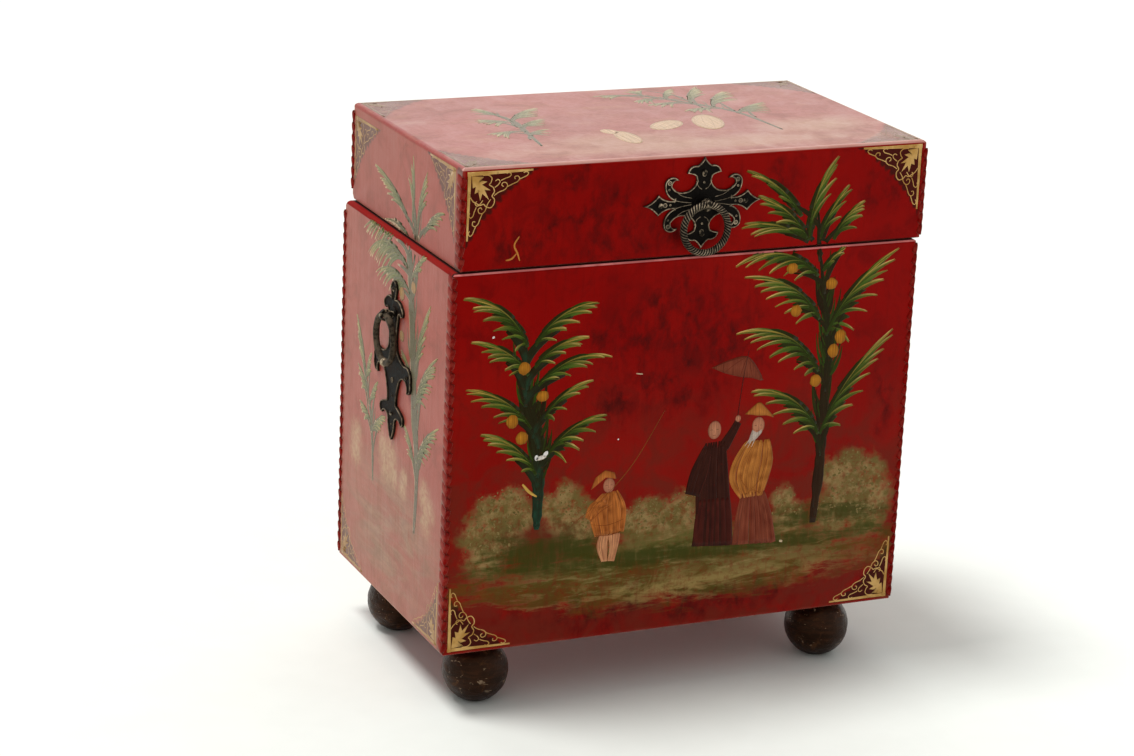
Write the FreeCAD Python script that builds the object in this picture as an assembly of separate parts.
import FreeCAD, Part
import math
import os

# Leather-covered box chest on ball feet, all lengths in millimetres.
# X runs along the front from left to right, Y from front to back, Z up from the floor.

# Outside sizes of the covered base and lid
base_width = 420.0
base_depth = 251.0
base_height = 325.0
lid_width_trim = 2.0
lid_height = 84.5
lid_shift = 5.0
lid_setback = 2.0
seam_gap = 0.5

# Carcase boards and the cover over them
leather = 2.0
board = 12.0
floor_board = 10.0
lid_top_board = 10.0
rebate = 6.0

# Rounded edges of the cover
lid_top_round = 4.0
rim_round = 3.0
lid_rim_round = 1.6
underside_round = 2.0
corner_round = 1.2

# Ball feet, set in as they stand under the chest
ball_radius = 28.0
ball_seat_cut = 2.0
ball_floor_cut = 2.0
front_left_foot_inset = 41.0
front_right_foot_inset = 56.0
back_left_foot_inset = 36.0
back_right_foot_inset = 56.0
foot_front_margin = 27.5
foot_back_margin = 58.0
foot_screw_radius = 2.5
foot_screw_head_radius = 5.0
foot_screw_bite = 22.0

# Butt hinges at the back edge, and the bevels that stop the lid
stop_angle = 101.0
hinge_inset = 5.0
hinge_end_margin = 92.0
hinge_length = 50.0
knuckle_count = 5
knuckle_radius = 2.8
hinge_pin_radius = 1.2
running_clearance = 0.05
knuckle_end_gap = 0.2
barrel_clearance = 0.5
leaf_screw_count = 3
leaf_screw_radius = 1.2
leaf_screw_head_radius = 2.1
leaf_screw_length = 10.0

# Thong lacing along the upright corners, long on the sides in front and on the back behind
lace_width = 7.4
lace_pitch = 9.7
lace_long_arm = 12.0
lace_short_arm = 2.4
lace_thickness = 1.5
lace_slant = 1.6
lace_end_margin = 3.0
lace_lid_top_margin = 9.0
lace_hinge_margin = 10.0

# Cast pull plates, their eyes and nails
plate_thickness = 2.4
plate_flange = 1.5
plate_edge_inset = 1.0
hub_radius = 8.0
hub_height = 1.0
boss_radius = 1.8
boss_height = 0.7
eye_reach = 9.0
eye_radius = 5.2
eye_thickness = 2.8
eye_neck_radius = 3.0
eye_hole_clearance = 0.4
shank_radius = 2.5
nut_across_corners_radius = 5.2
nut_height = 4.0
shank_tail = 1.0
nail_radius = 1.0
nail_head_radius = 2.2
nail_head_height = 1.1
nail_length = 11.0

# Front pull on the lid
front_pull_x = 6.8
front_pull_rise = 44.0
front_plate_half_width = 53.5
front_plate_half_height = 38.5
front_ring_radius = 20.0
front_wire_radius = 3.0

# Side pulls on the base
side_pull_drop = 67.5
side_plate_half_width = 41.5
side_plate_length = 139.0
side_eye_drop = 29.0
side_ring_radius = 20.5
side_wire_radius = 2.8
side_bead_radius = 3.7

# Room left around cutting tools
overshoot = 20.0

# One quarter of the front plate, from the top tip to the right tip.
# Each row is a middle point, or None for a straight run, and an end point,
# in shares of the plate's half width and half height.
front_plate_start_share = (0.0, 1.0)
front_plate_quarter_shares = (
    ((0.045, 0.900), (0.120, 0.810)),
    ((0.236, 0.775), (0.285, 0.650)),
    ((0.205, 0.632), (0.138, 0.585)),
    (None, (0.121, 0.485)),
    ((0.178, 0.345), (0.318, 0.262)),
    ((0.456, 0.290), (0.536, 0.400)),
    ((0.505, 0.495), (0.415, 0.510)),
    ((0.538, 0.592), (0.647, 0.490)),
    ((0.620, 0.244), (0.486, 0.092)),
    ((0.636, 0.118), (0.753, 0.228)),
    ((0.841, 0.100), (1.000, 0.000)),
)
front_nail_shares = ((0.72, 0.0), (-0.72, 0.0), (0.0, 0.67), (0.0, -0.67))
front_boss_shares = ((0.585, 0.45), (-0.585, 0.45), (0.585, -0.45), (-0.585, -0.45))

# The right half of a side plate, from the top tip to the bottom tip,
# in shares of the plate's half width and of its length down from the top.
side_plate_start_share = (0.0, 0.0)
side_plate_half_shares = (
    ((0.125, 0.023), (0.135, 0.068)),
    ((0.111, 0.094), (0.087, 0.112)),
    ((0.265, 0.108), (0.458, 0.140)),
    ((0.518, 0.173), (0.410, 0.198)),
    ((0.313, 0.187), (0.260, 0.215)),
    (None, (0.225, 0.273)),
    ((0.200, 0.345), (0.229, 0.417)),
    ((0.434, 0.464), (0.723, 0.475)),
    ((0.952, 0.496), (1.000, 0.561)),
    ((0.964, 0.619), (0.795, 0.637)),
    ((0.805, 0.590), (0.675, 0.568)),
    ((0.470, 0.580), (0.337, 0.633)),
    ((0.253, 0.698), (0.229, 0.763)),
    ((0.386, 0.777), (0.542, 0.795)),
    ((0.639, 0.831), (0.530, 0.871)),
    ((0.446, 0.849), (0.313, 0.845)),
    ((0.217, 0.856), (0.181, 0.885)),
    ((0.133, 0.942), (0.000, 1.000)),
)
side_nail_shares = ((0.0, 0.050), (0.78, 0.540), (-0.78, 0.540), (0.0, 0.830))
side_boss_shares = ((0.0, 0.32), (0.0, 0.62), (0.0, 0.72))

# Sizes, heights and places that follow from the sizes above
lid_width = base_width - lid_width_trim
foot_height = ball_radius * 2 - ball_seat_cut - ball_floor_cut
base_bottom = foot_height
rim = base_bottom + base_height
seam = rim + seam_gap / 2
lid_bottom = rim + seam_gap
lid_top = lid_bottom + lid_height

# The overall box is centred on the origin, so the chest stands back by half of the pull's reach
front_reach = eye_reach + eye_radius - lid_setback
chest_y = (front_reach - lace_thickness) / 2
front_face = chest_y - base_depth / 2
back_face = chest_y + base_depth / 2
left_face = -base_width / 2
right_face = base_width / 2
lid_front_face = front_face + lid_setback
lid_left_face = lid_shift - lid_width / 2
lid_right_face = lid_shift + lid_width / 2
hinge_y = back_face - hinge_inset
leaf_width = board + leather - hinge_inset
wall = board + leather

half_turn = 180.0
quarter_turn = 90.0
x_axis = FreeCAD.Vector(1, 0, 0)
y_axis = FreeCAD.Vector(0, 1, 0)
z_axis = FreeCAD.Vector(0, 0, 1)


def box(x0, x1, y0, y1, z0, z1):
    corner = FreeCAD.Vector(x0, y0, z0)
    return Part.makeBox(x1 - x0, y1 - y0, z1 - z0, corner)


def prism(points, direction):
    wire = Part.makePolygon(points + [points[0]])
    return Part.Face(wire).extrude(direction)


def placed(shape, x, y, z, turn=0.0):
    copy = shape.copy()
    rotation = FreeCAD.Rotation(z_axis, turn)
    copy.Placement = FreeCAD.Placement(FreeCAD.Vector(x, y, z), rotation)
    return copy


# A rectangle with its lower and upper corners rounded, drawn along two given axes
def rounded_rectangle(low, across, up, width, height, low_round, high_round):
    slack = 1 - math.sqrt(0.5)

    def at(u, v):
        return low + across * u + up * v

    def arc(a, b, c):
        return Part.Arc(a, b, c).toShape()

    inner = high_round * slack
    outer = low_round * slack
    edges = [
        Part.makeLine(at(low_round, 0), at(width - low_round, 0)),
        arc(at(width - low_round, 0), at(width - outer, outer), at(width, low_round)),
        Part.makeLine(at(width, low_round), at(width, height - high_round)),
        arc(
            at(width, height - high_round),
            at(width - inner, height - inner),
            at(width - high_round, height),
        ),
        Part.makeLine(at(width - high_round, height), at(high_round, height)),
        arc(at(high_round, height), at(inner, height - inner), at(0, height - high_round)),
        Part.makeLine(at(0, height - high_round), at(0, low_round)),
        arc(at(0, low_round), at(outer, outer), at(low_round, 0)),
    ]
    return Part.Face(Part.Wire(edges))


# A box with rounded edges, as the meeting of three rounded prisms
def soft_box(x0, x1, y0, y1, z0, z1, low_round, high_round):
    corner = FreeCAD.Vector(x0, y0, z0)
    across_x = rounded_rectangle(corner, x_axis, z_axis, x1 - x0, z1 - z0, low_round, high_round)
    across_y = rounded_rectangle(corner, y_axis, z_axis, y1 - y0, z1 - z0, low_round, high_round)
    plan = rounded_rectangle(corner, x_axis, y_axis, x1 - x0, y1 - y0, corner_round, corner_round)
    solid = across_x.extrude(y_axis * (y1 - y0))
    solid = solid.common(across_y.extrude(x_axis * (x1 - x0)))
    return solid.common(plan.extrude(z_axis * (z1 - z0)))


# The wedge cut from the back edge at the seam, above it for the lid and below it for the base
def stop_wedge(side, depth_in):
    half_angle = math.radians(stop_angle / 2)
    apex_y = hinge_y - depth_in * math.sin(half_angle)
    apex_z = seam + side * depth_in * math.cos(half_angle)
    far_y = back_face + overshoot
    drop = (far_y - apex_y) * math.tan(half_angle)
    left = left_face - overshoot
    span = base_width + overshoot * 2
    points = [
        FreeCAD.Vector(left, apex_y, apex_z),
        FreeCAD.Vector(left, far_y, apex_z + side * drop),
        FreeCAD.Vector(left, far_y, apex_z),
    ]
    return prism(points, x_axis * span)


# Plate outline from shares, as edges in the plane of the plate
def outline_edges(start_share, shares, place):
    edges = []
    start = place(start_share)
    for middle_share, end_share in shares:
        end = place(end_share)
        if middle_share is None:
            edges.append(Part.makeLine(start, end))
        else:
            edges.append(Part.Arc(start, place(middle_share), end).toShape())
        start = end
    return edges


def front_place(share):
    x = share[0] * front_plate_half_width
    z = share[1] * front_plate_half_height
    return FreeCAD.Vector(x, 0, z)


def side_place(share):
    x = share[0] * side_plate_half_width
    z = side_eye_drop - share[1] * side_plate_length
    return FreeCAD.Vector(x, 0, z)


# A low dome standing on the front of a plate
def dome(point, radius, height):
    ball_size = (radius ** 2 + height ** 2) / (height * 2)
    centre = FreeCAD.Vector(point.x, ball_size - height - plate_thickness, point.z)
    low = FreeCAD.Vector(point.x - ball_size, -plate_thickness - height - ball_size, point.z - ball_size)
    keep = Part.makeBox(ball_size * 2, height + ball_size, ball_size * 2, low)
    return Part.makeSphere(ball_size, centre).common(keep)


# A cast plate with its back on the plane y = 0, stepped in at its front edge, with bosses and a hub
def cast_plate(edges, boss_points):
    outline = Part.Face(Part.Wire(Part.__sortEdges__(edges)))
    flange = outline.extrude(y_axis * -plate_flange)
    field = outline.makeOffset2D(-plate_edge_inset).extrude(y_axis * -plate_thickness)
    hub = Part.makeCylinder(hub_radius, plate_thickness + hub_height, FreeCAD.Vector(0, 0, 0), -y_axis)
    bosses = [dome(point, boss_radius, boss_height) for point in boss_points]
    return flange.fuse([field, hub] + bosses).removeSplitter()


def front_plate():
    quarter = outline_edges(front_plate_start_share, front_plate_quarter_shares, front_place)
    origin = FreeCAD.Vector(0, 0, 0)
    right = quarter + [e.mirror(origin, z_axis) for e in quarter]
    bosses = [front_place(share) for share in front_boss_shares]
    return cast_plate(right + [e.mirror(origin, x_axis) for e in right], bosses)


def side_plate():
    half = outline_edges(side_plate_start_share, side_plate_half_shares, side_place)
    origin = FreeCAD.Vector(0, 0, 0)
    bosses = [side_place(share) for share in side_boss_shares]
    return cast_plate(half + [e.mirror(origin, x_axis) for e in half], bosses)


# The eye that carries a ring, with its shank through the wall
def pull_eye(wire_radius):
    seat = plate_thickness + hub_height
    loop_start = FreeCAD.Vector(-eye_thickness / 2, -eye_reach, 0)
    loop = Part.makeCylinder(eye_radius, eye_thickness, loop_start, x_axis)
    neck_length = eye_reach - seat
    neck = Part.makeCylinder(eye_neck_radius, neck_length, FreeCAD.Vector(0, -seat, 0), -y_axis)
    keep = box(-eye_radius, eye_radius, -eye_reach - eye_radius, -seat, -eye_radius, eye_radius)
    tail = seat + wall + nut_height + shank_tail
    shank = Part.makeCylinder(shank_radius, tail, FreeCAD.Vector(0, -seat, 0), y_axis)
    eye = loop.fuse(neck).common(keep).fuse(shank)
    hole_start = FreeCAD.Vector(-eye_radius, -eye_reach, 0)
    hole = Part.makeCylinder(wire_radius + eye_hole_clearance, eye_radius * 2, hole_start, x_axis)
    return eye.cut(hole).removeSplitter()


def pull_shank():
    start = FreeCAD.Vector(0, -plate_thickness - hub_height, 0)
    length = plate_thickness + hub_height + wall + nut_height + shank_tail
    return Part.makeCylinder(shank_radius, length, start, y_axis)


def pull_nut():
    points = []
    for i in range(6):
        angle = math.radians(60 * i)
        x = nut_across_corners_radius * math.cos(angle)
        z = nut_across_corners_radius * math.sin(angle)
        points.append(FreeCAD.Vector(x, wall, z))
    return prism(points, y_axis * nut_height).cut(pull_shank())


# A domed nail through a plate into the wall
def plate_nail(point):
    start = FreeCAD.Vector(point.x, -plate_thickness, point.z)
    shank = Part.makeCylinder(nail_radius, nail_length, start, y_axis)
    return dome(point, nail_head_radius, nail_head_height).fuse(shank)


def plate_nails(shares, place):
    return Part.makeCompound([plate_nail(place(share)) for share in shares])


# A ring hung through an eye, in the plane of the wall
def plain_ring(ring_radius, wire_radius):
    centre = FreeCAD.Vector(0, -eye_reach, -ring_radius)
    return Part.makeTorus(ring_radius, wire_radius, centre, y_axis)


# The same with a bead let into its lowest point, where the bead and the wire have the same girth
def beaded_ring(ring_radius, wire_radius, bead_radius):
    centre = FreeCAD.Vector(0, -eye_reach, -ring_radius)
    bead_half = math.sqrt(bead_radius ** 2 - wire_radius ** 2)
    half_angle = math.atan(bead_half / ring_radius)
    out = FreeCAD.Vector(math.sin(half_angle), 0, -math.cos(half_angle))
    along = FreeCAD.Vector(math.cos(half_angle), 0, math.sin(half_angle))
    section = Part.Wire(Part.makeCircle(wire_radius, centre + out * ring_radius, along))
    sweep = half_turn * 2 - math.degrees(half_angle) * 2
    ring = Part.Face(section).revolve(centre, -y_axis, sweep)
    bead_centre = centre - z_axis * (ring_radius / math.cos(half_angle))
    reach = ring_radius + bead_radius + overshoot
    back = y_axis * bead_radius
    across = FreeCAD.Vector(-out.x, 0, out.z)
    sector = prism([centre - back, centre + out * reach - back, centre + across * reach - back], back * 2)
    return ring.fuse(Part.makeSphere(bead_radius, bead_centre, y_axis).common(sector))


def make_pull(prefix, plate, shares, place, ring, wire_radius, spot):
    nails = plate_nails(shares, place)
    holes = [pull_shank()] + nails.Solids
    pieces = {
        prefix + "_pull_plate": plate.cut(holes),
        prefix + "_pull_eye": pull_eye(wire_radius),
        prefix + "_pull_nut": pull_nut(),
        prefix + "_pull_nails": nails,
        prefix + "_pull_ring": ring,
    }
    tools = [placed(hole, *spot) for hole in holes]
    return {name: placed(piece, *spot) for name, piece in pieces.items()}, tools


# One stitch of lacing wrapped round an upright corner, its arms running along +X and +Y
def lace_stitch(x_arm, y_arm):
    top = lace_width
    front = prism(
        [
            FreeCAD.Vector(0, 0, 0),
            FreeCAD.Vector(x_arm, 0, -lace_slant),
            FreeCAD.Vector(x_arm, 0, top - lace_slant),
            FreeCAD.Vector(0, 0, top),
        ],
        y_axis * -lace_thickness,
    )
    side = prism(
        [
            FreeCAD.Vector(0, 0, 0),
            FreeCAD.Vector(0, y_arm, lace_slant),
            FreeCAD.Vector(0, y_arm, top + lace_slant),
            FreeCAD.Vector(0, 0, top),
        ],
        x_axis * -lace_thickness,
    )
    nose = prism(
        [
            FreeCAD.Vector(0, 0, 0),
            FreeCAD.Vector(0, -lace_thickness, 0),
            FreeCAD.Vector(-lace_thickness, 0, 0),
        ],
        z_axis * top,
    )
    fill = corner_round * (2 - math.sqrt(2))
    corner = prism(
        [
            FreeCAD.Vector(0, 0, 0),
            FreeCAD.Vector(fill, 0, 0),
            FreeCAD.Vector(0, fill, 0),
        ],
        z_axis * top,
    )
    return front.fuse([side, nose, corner]).removeSplitter()


def lacing(stitch, x, y, turn, low, high):
    count = int((high - low - lace_slant * 2) / lace_pitch)
    spare = (high - low - lace_pitch * count) / 2
    stitches = []
    for i in range(count):
        z = low + spare + lace_pitch * i + (lace_pitch - lace_width) / 2
        stitches.append(placed(stitch, x, y, z, turn))
    return Part.makeCompound(stitches)


def ball_foot(x, y):
    centre_z = ball_radius - ball_floor_cut
    ball = Part.makeSphere(ball_radius, FreeCAD.Vector(x, y, centre_z))
    reach = ball_radius + overshoot
    keep = box(x - reach, x + reach, y - reach, y + reach, 0, foot_height)
    return ball.common(keep)


# A countersunk screw with its flat head at a point, running along a direction
def screw(head, direction, radius, head_radius, length):
    cone = Part.makeCone(head_radius, radius, head_radius - radius, head, direction)
    shank = Part.makeCylinder(radius, length, head, direction)
    return cone.fuse(shank).removeSplitter()


# Leaf, knuckles and screws of one half of a hinge, below the seam for the base and above it for the lid
def hinge_leaf(x, side, first_knuckle):
    start = x - hinge_length / 2
    step = hinge_length / knuckle_count
    near = seam + side * seam_gap / 2
    far = near + side * leather
    leaf = box(start, start + hinge_length, hinge_y - leaf_width, hinge_y, min(near, far), max(near, far))
    own = []
    other = []
    for i in range(knuckle_count):
        knuckle_x = start + step * i
        if i % 2 == first_knuckle:
            place = FreeCAD.Vector(knuckle_x + knuckle_end_gap / 2, hinge_y, seam)
            own.append(Part.makeCylinder(knuckle_radius, step - knuckle_end_gap, place, x_axis))
        else:
            place = FreeCAD.Vector(knuckle_x - knuckle_end_gap / 2, hinge_y, seam)
            room = knuckle_radius + barrel_clearance
            other.append(Part.makeCylinder(room, step + knuckle_end_gap, place, x_axis))
    leaf = leaf.cut(other).fuse(own)
    bore_start = FreeCAD.Vector(start - overshoot, hinge_y, seam)
    bore_radius = hinge_pin_radius + running_clearance
    leaf = leaf.cut(Part.makeCylinder(bore_radius, hinge_length + overshoot * 2, bore_start, x_axis))
    screws = []
    screw_y = hinge_y - (leaf_width + knuckle_radius) / 2
    for i in range(leaf_screw_count):
        screw_x = start + hinge_length * (i + 0.5) / leaf_screw_count
        head = FreeCAD.Vector(screw_x, screw_y, near)
        into = z_axis * side
        screws.append(screw(head, into, leaf_screw_radius, leaf_screw_head_radius, leaf_screw_length))
    return leaf.cut(screws).removeSplitter(), screws


# Room in the cover and the boards for one hinge
def hinge_recess(x, side):
    start = x - hinge_length / 2
    near = seam
    far = seam + side * (seam_gap / 2 + leather)
    seat = box(start, start + hinge_length, hinge_y - leaf_width, hinge_y, min(near, far), max(near, far))
    barrel_start = FreeCAD.Vector(start - barrel_clearance, hinge_y, seam)
    barrel_length = hinge_length + barrel_clearance * 2
    barrel_radius = knuckle_radius + barrel_clearance
    return seat.fuse(Part.makeCylinder(barrel_radius, barrel_length, barrel_start, x_axis))


def hinge_pin(x):
    start = FreeCAD.Vector(x - hinge_length / 2, hinge_y, seam)
    return Part.makeCylinder(hinge_pin_radius, hinge_length, start, x_axis)


# Boards of the base: side boards and floor let into rebates of the front and back boards
def base_boards():
    x0 = left_face + leather
    x1 = right_face - leather
    y0 = front_face + leather
    y1 = back_face - leather
    z0 = base_bottom + leather
    z1 = rim - leather
    lap = board - rebate
    floor = box(x0 + lap, x1 - lap, y0 + lap, y1 - lap, z0, z0 + floor_board)
    left = box(x0, x0 + board, y0 + lap, y1 - lap, z0, z1).cut(floor)
    right = box(x1 - board, x1, y0 + lap, y1 - lap, z0, z1).cut(floor)
    front = box(x0, x1, y0, y0 + board, z0, z1).cut([left, right, floor])
    back = box(x0, x1, y1 - board, y1, z0, z1).cut([left, right, floor, stop_wedge(-1, leather)])
    return {
        "base_floor_board": floor,
        "base_left_board": left,
        "base_right_board": right,
        "base_front_board": front,
        "base_back_board": back,
    }


# Boards of the lid: the top lies over four walls that are rebated at the corners
def lid_boards():
    x0 = lid_left_face + leather
    x1 = lid_right_face - leather
    y0 = lid_front_face + leather
    y1 = back_face - leather
    z0 = lid_bottom + leather
    z1 = lid_top - leather
    lap = board - rebate
    z_wall = z1 - lid_top_board
    top = box(x0, x1, y0, y1, z_wall, z1)
    left = box(x0, x0 + board, y0 + lap, y1 - lap, z0, z_wall)
    right = box(x1 - board, x1, y0 + lap, y1 - lap, z0, z_wall)
    front = box(x0, x1, y0, y0 + board, z0, z_wall).cut([left, right])
    back = box(x0, x1, y1 - board, y1, z0, z_wall).cut([left, right, stop_wedge(1, leather)])
    return {
        "lid_top_board": top,
        "lid_left_board": left,
        "lid_right_board": right,
        "lid_front_board": front,
        "lid_back_board": back,
    }


# The leather cover of the base, turned over the rim
def base_cover():
    outside = soft_box(
        left_face, right_face, front_face, back_face, base_bottom, rim, underside_round, rim_round
    )
    core = box(
        left_face + leather,
        right_face - leather,
        front_face + leather,
        back_face - leather,
        base_bottom + leather,
        rim - leather,
    ).cut(stop_wedge(-1, leather))
    mouth = box(
        left_face + wall,
        right_face - wall,
        front_face + wall,
        back_face - wall,
        base_bottom + wall,
        rim + overshoot,
    )
    return outside.cut([core, mouth, stop_wedge(-1, 0)])


# The leather cover of the lid, turned over its lower edge
def lid_cover():
    outside = soft_box(
        lid_left_face,
        lid_right_face,
        lid_front_face,
        back_face,
        lid_bottom,
        lid_top,
        lid_rim_round,
        lid_top_round,
    )
    core = box(
        lid_left_face + leather,
        lid_right_face - leather,
        lid_front_face + leather,
        back_face - leather,
        lid_bottom + leather,
        lid_top - leather,
    ).cut(stop_wedge(1, leather))
    mouth = box(
        lid_left_face + wall,
        lid_right_face - wall,
        lid_front_face + wall,
        back_face - wall,
        lid_bottom - overshoot,
        lid_top - wall,
    )
    return outside.cut([core, mouth, stop_wedge(1, 0)])


def cut_each(pieces, names, tools):
    for name in names:
        pieces[name] = pieces[name].cut(tools)


def build():
    pieces = {}
    pieces.update(base_boards())
    pieces["base_cover"] = base_cover()
    pieces.update(lid_boards())
    pieces["lid_cover"] = lid_cover()

    # Ball feet and the screws that hold them from inside the box
    front_foot_y = front_face + foot_front_margin
    back_foot_y = back_face - foot_back_margin
    feet = {
        "front_left_foot": (left_face + front_left_foot_inset, front_foot_y),
        "front_right_foot": (right_face - front_right_foot_inset, front_foot_y),
        "back_left_foot": (left_face + back_left_foot_inset, back_foot_y),
        "back_right_foot": (right_face - back_right_foot_inset, back_foot_y),
    }
    foot_screws = []
    floor_top = base_bottom + leather + floor_board
    screw_length = floor_board + leather + foot_screw_bite
    for name, (x, y) in feet.items():
        head = FreeCAD.Vector(x, y, floor_top)
        one = screw(head, -z_axis, foot_screw_radius, foot_screw_head_radius, screw_length)
        pieces[name] = ball_foot(x, y).cut(one)
        foot_screws.append(one)
    pieces["foot_screws"] = Part.makeCompound(foot_screws)
    cut_each(pieces, ("base_floor_board", "base_cover"), foot_screws)

    # Hinges
    base_screws = []
    lid_screws = []
    for label, x in (("left", left_face + hinge_end_margin), ("right", right_face - hinge_end_margin)):
        base_leaf, screws = hinge_leaf(x, -1, 0)
        base_screws += screws
        lid_leaf, screws = hinge_leaf(x, 1, 1)
        lid_screws += screws
        pieces[label + "_hinge_base_leaf"] = base_leaf
        pieces[label + "_hinge_lid_leaf"] = lid_leaf
        pieces[label + "_hinge_pin"] = hinge_pin(x)
        cut_each(pieces, ("base_cover", "base_back_board"), [hinge_recess(x, -1)])
        cut_each(pieces, ("lid_cover", "lid_back_board"), [hinge_recess(x, 1)])
    pieces["hinge_base_screws"] = Part.makeCompound(base_screws)
    pieces["hinge_lid_screws"] = Part.makeCompound(lid_screws)
    cut_each(pieces, ("base_back_board",), base_screws)
    cut_each(pieces, ("lid_back_board",), lid_screws)

    # Pulls
    spot = (front_pull_x, lid_front_face, lid_bottom + front_pull_rise)
    ring = plain_ring(front_ring_radius, front_wire_radius)
    made, tools = make_pull(
        "front", front_plate(), front_nail_shares, front_place, ring, front_wire_radius, spot
    )
    pieces.update(made)
    cut_each(pieces, ("lid_front_board", "lid_cover"), tools)
    for label, x, turn in (("left", left_face, -quarter_turn), ("right", right_face, quarter_turn)):
        spot = (x, chest_y, rim - side_pull_drop, turn)
        ring = beaded_ring(side_ring_radius, side_wire_radius, side_bead_radius)
        made, tools = make_pull(
            label, side_plate(), side_nail_shares, side_place, ring, side_wire_radius, spot
        )
        pieces.update(made)
        cut_each(pieces, ("base_" + label + "_board", "base_cover"), tools)

    # Corner lacing
    base_low = base_bottom + lace_end_margin
    lid_high = lid_top - lace_lid_top_margin
    along_x = lace_stitch(lace_long_arm, lace_short_arm)
    along_y = lace_stitch(lace_short_arm, lace_long_arm)
    lefts = (left_face, lid_left_face)
    rights = (right_face, lid_right_face)
    fronts = (front_face, lid_front_face)
    backs = (back_face, back_face)
    corners = (
        ("front_left", along_y, lefts, fronts, 0.0, lace_end_margin),
        ("front_right", along_x, rights, fronts, quarter_turn, lace_end_margin),
        ("back_right", along_x, rights, backs, half_turn, lace_hinge_margin),
        ("back_left", along_y, lefts, backs, -quarter_turn, lace_hinge_margin),
    )
    for label, stitch, (base_x, lid_x), (base_y, lid_y), turn, margin in corners:
        low_run = lacing(stitch, base_x, base_y, turn, base_low, rim - margin)
        high_run = lacing(stitch, lid_x, lid_y, turn, lid_bottom + margin, lid_high)
        pieces["base_" + label + "_lacing"] = low_run
        pieces["lid_" + label + "_lacing"] = high_run
    return pieces


def main():
    os.makedirs("parts", exist_ok=True)
    for name, shape in build().items():
        shape.exportStep("parts/" + name + ".step")


if __name__ == "__main__":
    main()
